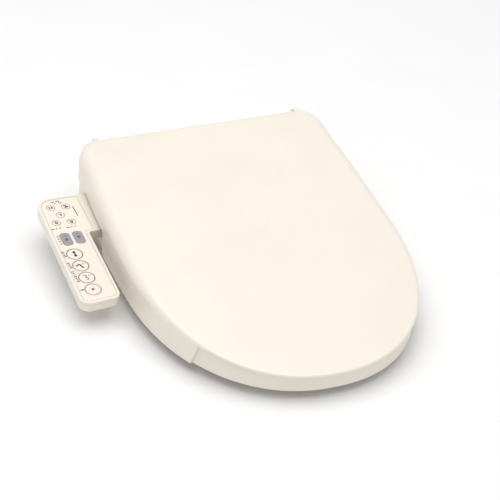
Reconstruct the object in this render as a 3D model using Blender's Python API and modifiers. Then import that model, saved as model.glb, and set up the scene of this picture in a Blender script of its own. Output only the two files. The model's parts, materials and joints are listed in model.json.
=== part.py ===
"""Electric bidet seat: heated seat and lid on a washing unit, with a control panel on a side arm.

Run with: blender --background --python part.py

Lengths are written in millimetres and multiplied by MM where a mesh is made. +Z is up, the front
faces -Y, and the control panel is at -X. The origin lies midway between the two bolts that hold the
base plate, on the face that rests on the toilet bowl's rim.
"""
import math

import bmesh
import bpy
import numpy as np
from mathutils import Matrix, Vector

MM = 0.001
OBJECT_NAME = "electric_bidet_seat"
GAP = 0.3                      # between pieces that rest on each other
WALL = 2.5                     # moulded casings
SKIN = 3.0                     # lid and seat shells

# Lid: a D-shaped cap, higher at the rear, whose skirt hangs over the seat.
LID_HALF_WIDTH = 198.5
LID_REAR_HALF_WIDTH = 190.0
LID_REAR_Y = 58.0
LID_LENGTH = 506.0
LID_WIDEST_Y = -194.0
LID_CORNER = 42.0              # radius of the two rear corners, in plan
FRONT_POWER = 2.2              # superellipse exponent of the front outline
LID_FRONT_Z = 41.0             # top of the lid at its front tip
LID_RISE = 76.0                # how much higher the rear edge is
LID_CROWN = 3.0
LIP_DEPTH = 5.0                # height of the lip over the finger grip
GRIP_REAR_Y = -355.0           # where the plain skirt ends and the recessed front grip begins
GRIP_SLANT = 12.0              # the recess deepens over this length
GRIP_DEPTH = 4.0
SKIRT_FRONT_Z = 13.5
SKIRT_MIDDLE_Z = 22.0          # at the arm
LID_AXIS = (52.0, 92.0)        # y and z of the lid's hinge line
LID_LUG_X = 153.0

# The seat ring.
SEAT_BOTTOM = 13.0
SEAT_FRONT_Z = 34.0
SEAT_REAR_Z = 42.0
SEAT_REAR_Y = -96.0
SEAT_CENTRE_Y = -245.0
HOLE_HALF_WIDTH = 100.0
HOLE_HALF_LENGTH = 134.0
SEAT_COLUMNS = 56
SEAT_AXIS = (-62.0, 50.0)
SEAT_LUG_X = 110.0
SEAT_LUG_WIDTH = 24.0

# Washing unit.
CASE_HALF_WIDTH = 183.0
CASE_FRONT_Y = -90.0
CASE_REAR_Y = 78.0
CASE_CORNER = 52.0             # radius of the two rear corners, in plan
CASE_SPLIT_Z = 40.0
PLATE_TOP = 8.0
CASE_BOTTOM = PLATE_TOP + GAP
TONGUE_TOP = 14.0
BOLT_SPACING = 140.0
NOZZLE_TILT = math.radians(28.0)
NOZZLE_MOUTH = Vector((0.0, -80.0, 22.0))
NOZZLE_RADIUS = 7.5
NOZZLE_LENGTH = 125.0

# Control panel: modelled flat in its own frame, then tilted.
PANEL_FRONT_Y = -214.0
PANEL_FRONT_Z = 44.0
PANEL_TILT = math.radians(5.0)
PANEL_FRONT_LEFT = (-270.6, -9.0)
PANEL_FRONT_RIGHT = (-213.6, -5.0)
PANEL_REAR_LEFT = (-263.2, 213.5)
PANEL_DEPTH = 17.0
ARM_CORNER_X = -211.4
ARM_FRONT = 132.0
ARM_REAR = 213.5
COVER_DEPTH = 4.7
SHEET = 0.7
BUTTON_ROW_X = -246.5
BUTTON_RADIUS = 11.4
SMALL_RADIUS = 6.0
BUTTON_CLEARANCE = 0.4
BUTTON_PROUD = 0.4
BUTTON_BASE = -5.2

ROUND_BUTTONS = {"button_massage": 91.3, "button_rear_wash": 66.6,
                 "button_front_wash": 41.9, "button_stop": 17.2}
PRESSURE_BUTTONS = {"button_pressure_less": -247.0, "button_pressure_more": -229.0}
PRESSURE_Y, PRESSURE_SIZE = 123.5, (13.5, 26.0)
SMALL_BUTTONS = {"button_power": (-246.5, 192.0), "button_water_heat": (-225.0, 190.5),
                 "button_energy_save": (-238.0, 174.5), "button_seat_heat": (-249.0, 159.5),
                 "button_deodorise": (-228.0, 157.5)}
LAMP_BAR = (-257.0, 123.5, 3.0, 20.0)

IVORY = ("ivory_plastic", (0.93, 0.88, 0.79), 0.28, 0.0)
KEY = ("key_plastic", (0.94, 0.90, 0.82), 0.35, 0.0)
SOFT_KEY = ("soft_key", (0.40, 0.41, 0.46), 0.5, 0.0)
SHEET_FINISH = ("face_sheet", (0.95, 0.91, 0.83), 0.4, 0.0)
GREY = ("grey_plastic", (0.32, 0.32, 0.32), 0.5, 0.0)
WHITE = ("white_plastic", (0.80, 0.80, 0.78), 0.45, 0.0)
RUBBER = ("rubber", (0.55, 0.54, 0.50), 0.8, 0.0)
STEEL = ("steel", (0.60, 0.60, 0.61), 0.3, 1.0)
BRASS = ("brass", (0.72, 0.55, 0.26), 0.35, 1.0)
BOARD = ("circuit_board", (0.05, 0.25, 0.12), 0.5, 0.0)
FOIL = ("heater_foil", (0.70, 0.60, 0.45), 0.4, 0.5)


# --- scene and helpers -----------------------------------------------------------------------

for old in list(bpy.data.objects):
    bpy.data.objects.remove(old)

parts = bpy.data.collections.new(OBJECT_NAME)
cutters = bpy.data.collections.new("cutters")
bpy.context.scene.collection.children.link(parts)
bpy.context.scene.collection.children.link(cutters)


def paint(obj, finish):
    """Give an object its own Principled material: colour, roughness and metallic value."""
    kind, colour, roughness, metallic = finish
    material = bpy.data.materials.new(f"{obj.name}_{kind}")
    material.use_nodes = True
    shader = material.node_tree.nodes["Principled BSDF"]
    shader.inputs["Base Color"].default_value = (*colour, 1.0)
    shader.inputs["Roughness"].default_value = roughness
    shader.inputs["Metallic"].default_value = metallic
    obj.data.materials.clear()
    obj.data.materials.append(material)


def place(name, mesh, finish, parent=None):
    """Make an object from a mesh: a part if it has a finish, otherwise a cutter."""
    obj = bpy.data.objects.new(name, mesh)
    obj.parent = parent
    if finish:
        parts.objects.link(obj)
        paint(obj, finish)
    else:
        cutters.objects.link(obj)
        obj.hide_render = True
        obj.display_type = "WIRE"
    return obj


def mesh_of(bm, name):
    """Write a bmesh to a new mesh."""
    mesh = bpy.data.meshes.new(name)
    bm.to_mesh(mesh)
    bm.free()
    return mesh


def block(name, low, high, finish=None, parent=None, bevel=0.0):
    """A box from its lowest and highest corners."""
    low, high = np.array(low, float), np.array(high, float)
    bm = bmesh.new()
    bmesh.ops.create_cube(bm, size=1.0)
    bmesh.ops.scale(bm, vec=Vector((high - low) * MM), verts=bm.verts)
    obj = place(name, mesh_of(bm, name), finish, parent)
    obj.location = Vector((low + high) / 2 * MM)
    if bevel:
        edge = obj.modifiers.new("bevel", "BEVEL")
        edge.width, edge.segments = bevel * MM, 1
    return obj


def rod(name, start, end, radius, finish=None, parent=None, sides=20, tip_radius=None):
    """A cylinder, or a cone if tip_radius is given, between two points."""
    start, end = Vector(start), Vector(end)
    along = end - start
    bm = bmesh.new()
    bmesh.ops.create_cone(bm, cap_ends=True, segments=sides, radius1=radius * MM,
                          radius2=(radius if tip_radius is None else tip_radius) * MM,
                          depth=along.length * MM)
    obj = place(name, mesh_of(bm, name), finish, parent)
    obj.rotation_euler = along.to_track_quat("Z", "Y").to_euler()
    obj.location = (start + end) / 2 * MM
    obj.data.shade_smooth()
    obj.data.set_sharp_from_angle(angle=math.radians(40))
    return obj


def slab(name, outline, low, high, finish=None, parent=None, across=False):
    """A flat outline given a thickness. It lies in XY from z=low to high; across=True turns it
    so that the outline's two coordinates are y and z, and low and high are along X."""
    curve = bpy.data.curves.new(name, "CURVE")
    curve.dimensions, curve.fill_mode = "2D", "BOTH"
    curve.extrude = (high - low) / 2 * MM
    spline = curve.splines.new("POLY")
    spline.points.add(len(outline) - 1)
    for point, (u, v) in zip(spline.points, outline):
        point.co = (u * MM, v * MM, 0.0, 1.0)
    spline.use_cyclic_u = True
    drawn = bpy.data.objects.new(name + "_outline", curve)
    cutters.objects.link(drawn)
    depsgraph = bpy.context.evaluated_depsgraph_get()
    mesh = bpy.data.meshes.new_from_object(drawn.evaluated_get(depsgraph))
    bpy.data.objects.remove(drawn)
    bm = bmesh.new()
    bm.from_mesh(mesh)
    bmesh.ops.remove_doubles(bm, verts=bm.verts, dist=1e-6)
    bmesh.ops.translate(bm, vec=(0, 0, (low + high) / 2 * MM), verts=bm.verts)
    if across:
        turn = Matrix(((0, 0, 1), (1, 0, 0), (0, 1, 0))).to_4x4()
        bmesh.ops.transform(bm, matrix=turn, verts=bm.verts)
    bmesh.ops.recalc_face_normals(bm, faces=bm.faces)
    bm.to_mesh(mesh)
    bm.free()
    return place(name, mesh, finish, parent)


def cut(target, *tools):
    """Take cutters away from a piece."""
    for tool in tools:
        boolean = target.modifiers.new(tool.name, "BOOLEAN")
        boolean.operation, boolean.solver, boolean.object = "DIFFERENCE", "EXACT", tool


def loft(name, rings, finish, closed_section=False, caps=()):
    """A surface through rings of points, shape (rings, points, 3), each ring closed on itself.
    closed_section joins the last ring to the first; caps are two points, one for each end."""
    rings = np.asarray(rings) * MM
    rows, columns = rings.shape[:2]
    row, column = np.meshgrid(np.arange(rows if closed_section else rows - 1),
                              np.arange(columns), indexing="ij")
    ahead, beside = (row + 1) % rows, (column + 1) % columns
    faces = np.stack([row * columns + column, row * columns + beside,
                      ahead * columns + beside, ahead * columns + column], axis=-1)
    points, faces = rings.reshape(-1, 3).tolist(), faces.reshape(-1, 4).tolist()
    for cap, edge in zip(caps, (0, (rows - 1) * columns)):
        fan = [[edge + i, edge + (i + 1) % columns, len(points)] for i in range(columns)]
        faces += fan if edge else [face[::-1] for face in fan]
        points.append([value * MM for value in cap])
    mesh = bpy.data.meshes.new(name)
    mesh.from_pydata(points, [], faces)
    mesh.shade_smooth()
    mesh.set_sharp_from_angle(angle=math.radians(35))
    return place(name, mesh, finish)


def shell(obj, thickness):
    """Give an open surface a wall, inwards from its outer face."""
    wall = obj.modifiers.new("wall", "SOLIDIFY")
    wall.thickness, wall.offset, wall.use_even_offset = thickness * MM, -1.0, True


def rounded(corners, steps=4):
    """An outline from (x, y, radius) corners, each turned into an arc."""
    points = []
    spots = [Vector(corner[:2]) for corner in corners]
    for i, (x, y, radius) in enumerate(corners):
        here, before, after = spots[i], spots[i - 1], spots[(i + 1) % len(spots)]
        if not radius:
            points.append((x, y))
            continue
        inward, outward = (before - here).normalized(), (after - here).normalized()
        half = inward.angle(outward) / 2
        centre = here + (inward + outward).normalized() * radius / math.sin(half)
        first = here + inward * radius / math.tan(half) - centre
        last = here + outward * radius / math.tan(half) - centre
        turn = math.atan2(first.cross(last), first.dot(last))
        for step in range(steps + 1):
            arm = Matrix.Rotation(turn * step / steps, 2) @ first
            points.append(tuple(centre + arm))
    return points


def inset(outline, distance):
    """An outline moved inwards, each side parallel to itself. The outline runs anticlockwise."""
    points = np.array(outline, float)
    ahead = np.roll(points, -1, axis=0) - points
    normal = np.stack([-ahead[:, 1], ahead[:, 0]], axis=1)
    normal /= np.linalg.norm(normal, axis=1)[:, None]
    before = np.roll(normal, 1, axis=0)
    reach = distance / (1.0 + np.sum(normal * before, axis=1))
    return (points + (normal + before) * reach[:, None]).tolist()


def arc(centre, radius, start, end, steps):
    """Points on a circle between two angles in degrees."""
    angles = np.radians(np.linspace(start, end, steps + 1))
    return [(centre[0] + radius * math.cos(a), centre[1] + radius * math.sin(a)) for a in angles]


# --- outlines of the lid and the seat --------------------------------------------------------

def lid_half_outline():
    """The right half of the lid in plan, from the middle of its rear edge to its front tip: a
    straight rear edge, a round corner, a side that widens gently, and a superellipse front."""
    rear = LID_REAR_HALF_WIDTH - LID_CORNER
    points = [(x, LID_REAR_Y) for x in np.linspace(0.0, rear, 4)]
    points += arc((rear, LID_REAR_Y - LID_CORNER), LID_CORNER, 78, 0, 6)
    side_ends = (LID_REAR_Y - LID_CORNER, LID_WIDEST_Y)
    for y in (-40.0, -92.0, -98.0, -145.0):
        share = (y - side_ends[0]) / (side_ends[1] - side_ends[0])
        widening = math.sin(share * math.pi / 2)
        points.append((LID_REAR_HALF_WIDTH + (LID_HALF_WIDTH - LID_REAR_HALF_WIDTH) * widening, y))
    depth = LID_LENGTH - (LID_REAR_Y - LID_WIDEST_Y)
    skirt_end, lip_start = [
        math.asin(((LID_WIDEST_Y - y) / depth) ** (FRONT_POWER / 2))
        for y in (GRIP_REAR_Y, GRIP_REAR_Y - GRIP_SLANT)]
    turns = [*np.linspace(0, skirt_end, 6), *np.linspace(lip_start, math.pi / 2, 10)]
    power = 2 / FRONT_POWER
    points += [(LID_HALF_WIDTH * max(math.cos(t), 0.0) ** power,
                LID_WIDEST_Y - depth * math.sin(t) ** power) for t in turns]
    points[-1] = (0.0, points[-1][1])
    return np.array(points)


def lid_outline():
    """The whole outline, anticlockwise from the front tip."""
    half = lid_half_outline()
    mirrored = half[1:-1] * (-1, 1)
    return np.vstack([half[::-1], mirrored])


def outward(outline):
    """Unit vectors pointing out of a smooth anticlockwise outline."""
    along = np.roll(outline, -1, axis=0) - np.roll(outline, 1, axis=0)
    along /= np.linalg.norm(along, axis=1)[:, None]
    return np.stack([along[:, 1], -along[:, 0]], axis=1)


def lid_top(y):
    """Height of the lid's sloping top."""
    return LID_FRONT_Z + LID_RISE * (y - (LID_REAR_Y - LID_LENGTH)) / LID_LENGTH


def panel_top(y):
    """Height of the control panel's face, which is also the arm's top."""
    return PANEL_FRONT_Z + math.tan(PANEL_TILT) * (y - PANEL_FRONT_Y)


def polar_radius(outline, centre_y, angles):
    """Distance from (0, centre_y) to an outline, at angles counted from +Y towards +X."""
    x, y = outline[:, 0], outline[:, 1] - centre_y
    angle = np.arctan2(x, y)
    order = np.argsort(angle)
    return np.interp(angles, angle[order], np.hypot(x, y)[order], period=2 * math.pi)


# --- lid ---------------------------------------------------------------------------------------

def make_lid():
    """A domed shell: skirt, rounded shoulder and top. The shoulder is broad at the rear and at the
    sides and tightens towards the front, where the skirt steps in under a lip for the fingers.
    Inner rings run down from the ceiling and outer rings back up, so the wall is closed."""
    outline = lid_outline()
    out = outward(outline)
    y = outline[:, 1]
    lip_start = GRIP_REAR_Y - GRIP_SLANT
    grip = (y <= lip_start + 0.01).astype(float)
    shoulder = np.interp(y, [lip_start, GRIP_REAR_Y, -150, 20, LID_REAR_Y], [2.5, 5, 18, 18, 12])
    bottom = np.interp(y, [LID_REAR_Y - LID_LENGTH, -98, -92, 30, 50, LID_REAR_Y],
                       [SKIRT_FRONT_Z, SKIRT_MIDDLE_Z, panel_top(-92) + 3, panel_top(30) + 3,
                        100, 103])
    shoulder_z = lid_top(y) - shoulder
    step = GRIP_DEPTH * grip

    def ring(inwards, height):
        plan = outline - out * np.broadcast_to(inwards, y.shape)[:, None]
        return np.column_stack([plan, height])

    def bend(wall, radius, drop, turns):
        """The rounded corner between a wall and the top, from vertical to level."""
        for turn in np.radians(turns):
            inwards = wall + radius * (1 - math.cos(turn))
            plan_y = y - out[:, 1] * inwards
            yield ring(inwards, lid_top(plan_y) - drop - radius * (1 - math.sin(turn)))

    def half_ring(drop):
        plan = (0.0, LID_WIDEST_Y) + (outline - (0.0, LID_WIDEST_Y)) * 0.5
        return np.column_stack([plan, lid_top(plan[:, 1]) + LID_CROWN * 0.75 - drop])

    def neck(share):
        plain = bottom + (shoulder_z - bottom) * share
        return np.where(grip > 0, lid_top(y) - LIP_DEPTH, plain)

    inner_wall, inner_radius = step + SKIN, np.maximum(shoulder - SKIN, 1.5)
    rings = [half_ring(SKIN), *bend(inner_wall, inner_radius, SKIN, [90, 45, 0]),
             ring(inner_wall, bottom), ring(step, bottom), ring(step, neck(0.5)),
             ring(0, neck(0.75)), *bend(0, shoulder, 0, [0, 30, 60, 90]), half_ring(0)]
    crown = lid_top(LID_WIDEST_Y) + LID_CROWN
    loft("lid_shell", rings, IVORY,
         caps=((0, LID_WIDEST_Y, crown - SKIN), (0, LID_WIDEST_Y, crown)))

    y0, z0 = LID_AXIS
    lug = [(40, 109.2), (40, 104), (44, 90), (48, 85), (56, 85), (y0 + 7.5, 89), (y0 + 7.5, 95),
           (53.5, 102.0), (51, 105.5), (46.5, 108.5)]
    for side, name in ((-1, "left"), (1, "right")):
        ends = sorted((side * (LID_LUG_X - 4), side * (LID_LUG_X + 4)))
        ear = slab(f"lid_hinge_lug_{name}", lug, *ends, IVORY, across=True)
        hole = rod(f"lid_lug_bore_{name}", (ends[0] - 5, y0, z0), (ends[1] + 5, y0, z0), 3.9)
        cut(ear, hole)
        rod(f"lid_hinge_pin_{name}", (side * 146.4, y0, z0), (side * 160, y0, z0), 3.5, STEEL)
        foot_y = -392.0
        rod(f"lid_buffer_{name}", (side * 78, foot_y, seat_top_z(foot_y) + 0.8),
            (side * 78, foot_y, lid_top(foot_y) - SKIN - 0.6), 6, RUBBER, sides=16)


# --- seat --------------------------------------------------------------------------------------

def seat_top_z(y):
    """Height of the seat's sloping top."""
    share = (y - (LID_REAR_Y - LID_LENGTH)) / (SEAT_REAR_Y - (LID_REAR_Y - LID_LENGTH))
    return SEAT_FRONT_Z + (SEAT_REAR_Z - SEAT_FRONT_Z) * share


def seat_rings():
    """Directions, outer radius and hole radius of the seat about its centre. Outside it follows
    the lid with an inset, and its rear is cut straight with soft corners."""
    angles = np.linspace(0, 2 * math.pi, SEAT_COLUMNS, endpoint=False)
    outline = lid_outline()
    room = np.interp(outline[:, 1], [GRIP_REAR_Y, GRIP_REAR_Y + 40], [10.0, 8.5])
    outer = polar_radius(outline - outward(outline) * room[:, None], SEAT_CENTRE_Y, angles)
    rear = (SEAT_REAR_Y - SEAT_CENTRE_Y) / np.maximum(np.cos(angles), 1e-3)
    outer = (outer ** -16 + rear ** -16) ** (-1 / 16)
    hole = ((np.abs(np.sin(angles)) / HOLE_HALF_WIDTH) ** 2.3
            + (np.abs(np.cos(angles)) / HOLE_HALF_LENGTH) ** 2.3) ** (-1 / 2.3)
    return angles, outer, hole


def seat_ring(angles, radius, height):
    """Points of one ring. height is a number, or a depth below the seat's top if negative."""
    x, y = radius * np.sin(angles), SEAT_CENTRE_Y + radius * np.cos(angles)
    z = seat_top_z(y) + height if height < 0 else np.full_like(x, height)
    return np.column_stack([x, y, z])


def make_seat():
    """The ring: a moulded top shell, a bottom plate, a heater sheet between them, hinge lugs that
    reach back into the washing unit, and rubber feet."""
    angles, outer, hole = seat_rings()
    angles, outer, hole = angles[::-1], outer[::-1], hole[::-1]
    joint = SEAT_BOTTOM + SKIN + GAP
    section = [(outer, joint), (outer, -6.0), (outer - 1.8, -1.8), (outer - 6, -0.01),
               ((outer + hole) / 2, -2.0), (hole + 9, -4.0), (hole + 2.5, -6.5),
               (hole, -11.0), (hole, joint)]
    top = loft("seat_top", [seat_ring(angles, r, z) for r, z in section], IVORY)
    shell(top, SKIN)
    section = [(outer, joint - GAP), (hole, joint - GAP), (hole + 2, SEAT_BOTTOM),
               (outer - 2, SEAT_BOTTOM)]
    bottom = loft("seat_bottom", [seat_ring(angles, r, z) for r, z in section[::-1]], IVORY,
                  closed_section=True)
    under = SKIN + 2.8
    section = [(outer - 14, -under), (hole + 14, -under - 4), (hole + 14, -under - 4.8),
               (outer - 14, -under - 0.8)]
    loft("seat_heater", [seat_ring(angles, r, z) for r, z in section], FOIL, closed_section=True)

    way = block("nozzle_way", (-26, SEAT_REAR_Y - 32, 0), (26, SEAT_REAR_Y + 6, 27))
    cut(top, way)
    cut(bottom, way)

    y0, z0 = SEAT_AXIS
    back = SEAT_REAR_Y + GAP
    lug = [(back, 24), (-91.5, 24), (-91.5, 43.5), (-66, 44.3), (y0 + 4, 44.6), (y0 + 6.5, z0),
           (y0 + 4.5, 55), (y0, 56.5), (-85, 52), (back, 46)]
    for side, name in ((-1, "left"), (1, "right")):
        ends = sorted((side * (SEAT_LUG_X - SEAT_LUG_WIDTH / 2),
                       side * (SEAT_LUG_X + SEAT_LUG_WIDTH / 2)))
        ear = slab(f"seat_hinge_lug_{name}", lug, *ends, IVORY, across=True)
        hole_tool = rod(f"seat_lug_bore_{name}", (ends[0] - 5, y0, z0), (ends[1] + 5, y0, z0), 4.4)
        cut(ear, hole_tool)
        rod(f"seat_hinge_pin_{name}", (ends[0] - 1.5, y0, z0), (ends[1] + 1.5, y0, z0), 4, STEEL)
        for end, (x, y) in {"rear": (148, -165), "front": (78, -392)}.items():
            rod(f"seat_buffer_{end}_{name}", (side * x, y, 0), (side * x, y, SEAT_BOTTOM - GAP),
                9, RUBBER, tip_radius=10)


# --- washing unit: casings ---------------------------------------------------------------------

def make_base_plate():
    """The plate bolted to the bowl. Its tongue guides the unit, which slides off forwards."""
    outline = rounded([(-95, -40, 8), (95, -40, 8), (95, 30, 8), (-95, 30, 8)])
    plate = slab("base_plate", outline, 0, PLATE_TOP, GREY)
    tongue = block("tongue", (-28, -34, PLATE_TOP - 1), (28, 24, TONGUE_TOP))
    union = plate.modifiers.new("tongue", "BOOLEAN")
    union.operation, union.solver, union.object = "UNION", "EXACT", tongue
    for side in (-1, 1):
        x = side * BOLT_SPACING / 2
        slot = rounded([(x - 5, -14, 5), (x + 5, -14, 5), (x + 5, 14, 5), (x - 5, 14, 5)])
        cut(plate, slab(f"bolt_slot_{side}", slot, -2, PLATE_TOP + 2))


def case_profile():
    """Side view of the washing unit above its split line, anticlockwise, as (y, z)."""
    return [(CASE_FRONT_Y, CASE_SPLIT_Z + GAP), (CASE_REAR_Y, CASE_SPLIT_Z + GAP),
            (CASE_REAR_Y, 75), (75, 78), (61, 79), *arc(LID_AXIS, 10, -40, 90, 6),
            (40, 101), (0, 96), (-45, 80), (-62, 70), (-80, 60), (CASE_FRONT_Y, 50)]


def case_plan(shrink):
    """The washing unit in plan, with broad rear corners that stay behind the lid's."""
    x, front, rear = CASE_HALF_WIDTH - shrink, CASE_FRONT_Y + shrink, CASE_REAR_Y - shrink
    return rounded([(-x, front, 0), (x, front, 0), (x, rear, CASE_CORNER - shrink),
                    (-x, rear, CASE_CORNER - shrink)], steps=6)


def make_upper_cover():
    """Upper half of the casing. The inner space is itself cut, so that every recess for a hinge
    keeps a wall behind it."""
    room_profile = inset(case_profile(), WALL)
    room_profile[0][1] = room_profile[1][1] = CASE_SPLIT_Z - 5
    cover = slab("upper_cover", case_profile(), -CASE_HALF_WIDTH, CASE_HALF_WIDTH, IVORY,
                 across=True)
    room = slab("cover_room", room_profile, -CASE_HALF_WIDTH, CASE_HALF_WIDTH, across=True)
    half_slot = SEAT_LUG_WIDTH / 2 + 2
    for target, grown in ((cover, 0.0), (room, WALL)):
        trim = target.modifiers.new("plan", "BOOLEAN")
        trim.operation, trim.solver = "INTERSECT", "EXACT"
        trim.object = slab(f"{target.name}_plan", case_plan(grown), 0, 130)
        for side in (-1, 1):
            ends = sorted((side * (146 - grown), side * (CASE_HALF_WIDTH + 5)))
            corner = block(f"{target.name}_corner_{side}", (ends[0], 20 - grown, 60 - grown),
                           (ends[1], CASE_REAR_Y + 9, 130))
            x = side * SEAT_LUG_X
            floor = CASE_SPLIT_Z + GAP + WALL - grown - 0.01
            pocket = block(f"{target.name}_pocket_{side}",
                           (x - half_slot - grown, CASE_FRONT_Y - 9, floor),
                           (x + half_slot + grown, -50 + grown, 130))
            cut(target, corner, pocket)
    cut(cover, room)


def make_lower_case():
    """Lower half of the casing: a tray with a channel for the base plate's tongue, the nozzle's
    mouth in front, and openings behind for water, power, drain and the air filter."""
    case = slab("lower_case", case_plan(0), CASE_BOTTOM, CASE_SPLIT_Z, IVORY)
    room = slab("case_room", case_plan(WALL), CASE_BOTTOM + WALL, CASE_SPLIT_Z + 5)
    roof = TONGUE_TOP + 0.5
    cut(room, block("channel_wall", (-28.5 - WALL, -45 - WALL, 0),
                    (28.5 + WALL, CASE_REAR_Y + 5, roof + WALL)))
    cut(case, room,
        block("channel", (-28.5, -45, 0), (28.5, CASE_REAR_Y + 5, roof)),
        block("mouth", (-14, CASE_FRONT_Y - 5, 0), (14, CASE_FRONT_Y + 20, 36)),
        block("filter_slot", (-95.5, 70, 13.5), (-54.5, CASE_REAR_Y + 5, 34.5)),
        block("release_slot", (170, -10.5, 12.5), (190, 12.5, 20.5)),
        rod("inlet_hole", (118, 70, 27), (118, 90, 27), 10.5),
        rod("drain_hole", (70, 70, 22), (70, 90, 22), 8.5),
        rod("gland_hole", (-118, 70, 25), (-118, 90, 25), 7.5))


# --- washing unit: what is inside ----------------------------------------------------------------

def along_nozzle(distance, lift=0.0):
    """A point on the nozzle's line, measured up from its mouth, and lifted off it at right angles."""
    y, z = math.cos(NOZZLE_TILT), math.sin(NOZZLE_TILT)
    return NOZZLE_MOUTH + Vector((0, y, z)) * distance + Vector((0, -z, y)) * lift


def make_nozzle():
    """The wand slides down its rail through the mouth, driven by a motor and a pinion."""
    rod("nozzle_tip", along_nozzle(18), along_nozzle(0), NOZZLE_RADIUS, WHITE, tip_radius=6)
    rod("nozzle_wand", along_nozzle(18 + GAP), along_nozzle(NOZZLE_LENGTH), NOZZLE_RADIUS, STEEL)
    rail = block("nozzle_guide", (-10, 0, -2), (10, 118, 2), WHITE)
    rail.rotation_euler = (NOZZLE_TILT, 0, 0)
    rail.location = along_nozzle(12 + 59, -12.5) * MM
    drive = along_nozzle(60, NOZZLE_RADIUS + 5 + 0.5)
    teeth = [(drive.y + r * math.cos(a), drive.z + r * math.sin(a))
             for a, r in zip(np.linspace(0, 2 * math.pi, 24, endpoint=False), [5.0, 4.2] * 12)]
    slab("drive_pinion", teeth, -4, 7.6, WHITE, across=True)
    rod("nozzle_motor", drive + Vector((8, 0, 0)), drive + Vector((32, 0, 0)), 10, STEEL)


def make_water_parts():
    """Inlet, valves, warm tank with its heater and thermostat, drain, and two tubes."""
    tank = block("water_tank", (45, -45, 14), (165, 25, 56), WHITE, bevel=4)
    block("tank_heater", (62, 25.4, 20), (148, 30, 50), STEEL, bevel=1)
    rod("thermostat", (90, -10, 56.4), (90, -10, 64), 9, STEEL, sides=16)
    block("inlet_valve", (102, 37, 13), (138, 66, 46), GREY, bevel=2)
    block("flow_valve", (42, 36, 13), (80, 56, 42), GREY, bevel=2)
    fitting = rod("inlet_fitting", (118, 66.4, 27), (118, 83, 27), 10, BRASS, sides=24)
    cut(fitting, rod("fitting_bore", (118, 72, 27), (118, 90, 27), 6))
    rod("drain_plug", (70, 60, 22), (70, 80, 22), 8, GREY)
    tube("feed_tube", [(101.4, 48, 34), (95, 48, 35), (87, 47, 34), (80.6, 47, 33)])
    tube("wash_tube", [(58, 48, 42.5), (58, 48, 56), (50, 52, 66), (36, 54, 70), (22, 52, 70)])
    return tank


def tube(name, points, radius=3.0):
    """A short hose through a few points."""
    curve = bpy.data.curves.new(name, "CURVE")
    curve.dimensions, curve.bevel_depth, curve.bevel_resolution = "3D", radius * MM, 2
    curve.use_fill_caps = True
    spline = curve.splines.new("POLY")
    spline.points.add(len(points) - 1)
    for point, place_at in zip(spline.points, points):
        point.co = (*(Vector(place_at) * MM), 1.0)
    hose = bpy.data.objects.new(name, curve)
    parts.objects.link(hose)
    paint(hose, RUBBER)
    return hose


def make_electrics():
    """Power board and transformer, deodoriser fan with its filter, hinge dampers, cord gland."""
    block("power_board", (-175, -80, 20), (-100, 20, 22), BOARD)
    block("power_transformer", (-165, -30, 22.4), (-125, 10, 48), STEEL, bevel=2)
    housing = rod("fan_housing", (-70, -48, 13), (-70, -48, 36), 23, GREY, sides=24)
    cut(housing, rod("fan_room", (-70, -48, 15.5), (-70, -48, 40), 20.5, sides=24))
    blades = [(-70 + r * math.cos(a), -48 + r * math.sin(a))
              for a, r in zip(np.linspace(0, 2 * math.pi, 32, endpoint=False),
                              [18.0, 18.0, 11.0, 11.0] * 8)]
    slab("fan_impeller", blades, 17, 33, WHITE)
    block("filter_cartridge", (-95, 42, 14), (-55, CASE_REAR_Y + 0.6, 34), GREY, bevel=1)
    rod("lid_damper", (96, *LID_AXIS), (140, *LID_AXIS), 6.5, GREY)
    rod("seat_damper", (60, *SEAT_AXIS), (92, *SEAT_AXIS), 9, GREY)
    rod("cord_gland", (-118, 68, 25), (-118, 83, 25), 7, RUBBER)
    block("release_button", (174, -10, 13), (186.5, 12, 20), GREY, bevel=1)


# --- control panel -------------------------------------------------------------------------------

def panel_outline():
    """The panel and its arm in plan, anticlockwise, with y counted from the panel's front edge."""
    joint = -CASE_HALF_WIDTH - 0.4
    return rounded([(*PANEL_FRONT_LEFT, 14), (*PANEL_FRONT_RIGHT, 12), (ARM_CORNER_X, ARM_FRONT, 4),
                    (joint, ARM_FRONT, 0), (joint, ARM_REAR, 0), (*PANEL_REAR_LEFT, 22)])


def sheet_outline(shrink):
    """The inset face sheet follows the panel and its arm, four millimetres in."""
    return inset(rounded([(-266.5, -5, 10), (-217.5, -1, 8), (-215.4, ARM_FRONT + 4, 6),
                          (-203, ARM_FRONT + 4, 2), (-203, ARM_REAR - 4, 2),
                          (-259.3, ARM_REAR - 4, 18)]), shrink)


def key_outline(x, y, size, grow=0.0):
    """A rounded rectangle about a centre."""
    half_x, half_y = size[0] / 2 + grow, size[1] / 2 + grow
    radius = min(half_x, 5 + grow)
    return rounded([(x - half_x, y - half_y, radius), (x + half_x, y - half_y, radius),
                    (x + half_x, y + half_y, radius), (x - half_x, y + half_y, radius)])


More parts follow.
